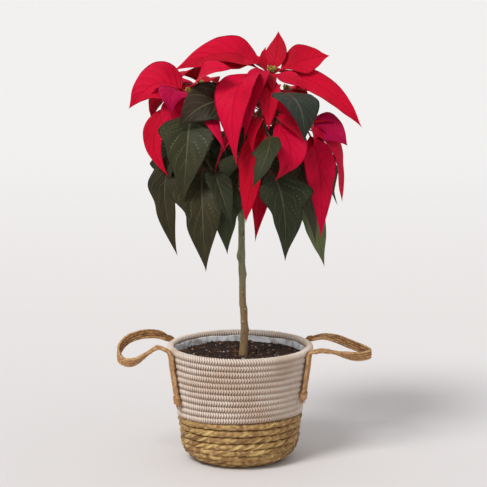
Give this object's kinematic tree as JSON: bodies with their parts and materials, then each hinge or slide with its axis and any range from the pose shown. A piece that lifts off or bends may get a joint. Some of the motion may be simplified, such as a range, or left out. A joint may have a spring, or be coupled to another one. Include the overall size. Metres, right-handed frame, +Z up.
{
  "type": "potted poinsettia tree",
  "caption": "Poinsettia grown as a small standard tree, red bracts over dark leaves on one woody stem, standing in a two-tone coiled-rope planter basket with looped handles.",
  "frame": {"origin": "middle of the basket's flat foot, on the surface that it stands on", "axes": "+Z up along the trunk; the side shown in the picture faces -Y; the handles stand out along -X and +X"},
  "size_m": [0.3183, 0.2677, 0.5361],
  "materials": {
    "cotton_rope": "braided cotton rope, cream with pinkish-brown gaps, matte",
    "seagrass_rope": "twisted seagrass rope, tan with dark gaps and pale straws, slight sheen",
    "plaited_strap": "flat plait of fine seagrass cord, matte",
    "plastic_film": "thin wrinkled grey-white film, semi-clear",
    "potting_soil": "moist potting soil with bark bits and perlite grains",
    "bark": "smooth young bark, tan below and grey-green above, with leaf scars",
    "leaf": "dark olive-green leaf, satin, with pale veins and a lighter underside",
    "bract": "velvety crimson bract with fine sunken veins",
    "cyathia": "yellow-green cups with red lobes and yellow nectar glands"
  },
  "bodies": {
    "root": {"basket_cotton_wall": "cotton_rope", "basket_seagrass_base": "seagrass_rope", "handle_left": "plaited_strap", "handle_right": "plaited_strap", "liner": "plastic_film", "soil": "potting_soil", "trunk": "bark", "shoot_top": "leaf", "shoot_left": "leaf", "shoot_front": "leaf", "shoot_right": "leaf", "shoot_back_left": "leaf", "shoot_back_right": "leaf", "shoot_back": "leaf", "bloom_top": "bract", "bloom_left": "bract", "bloom_front": "bract", "bloom_right": "bract", "bloom_back_left": "bract", "bloom_back_right": "bract", "bloom_back": "bract", "cyathia_top": "cyathia", "cyathia_left": "cyathia", "cyathia_front": "cyathia", "cyathia_right": "cyathia", "cyathia_back_left": "cyathia", "cyathia_back_right": "cyathia", "cyathia_back": "cyathia"}
  },
  "joints": []
}
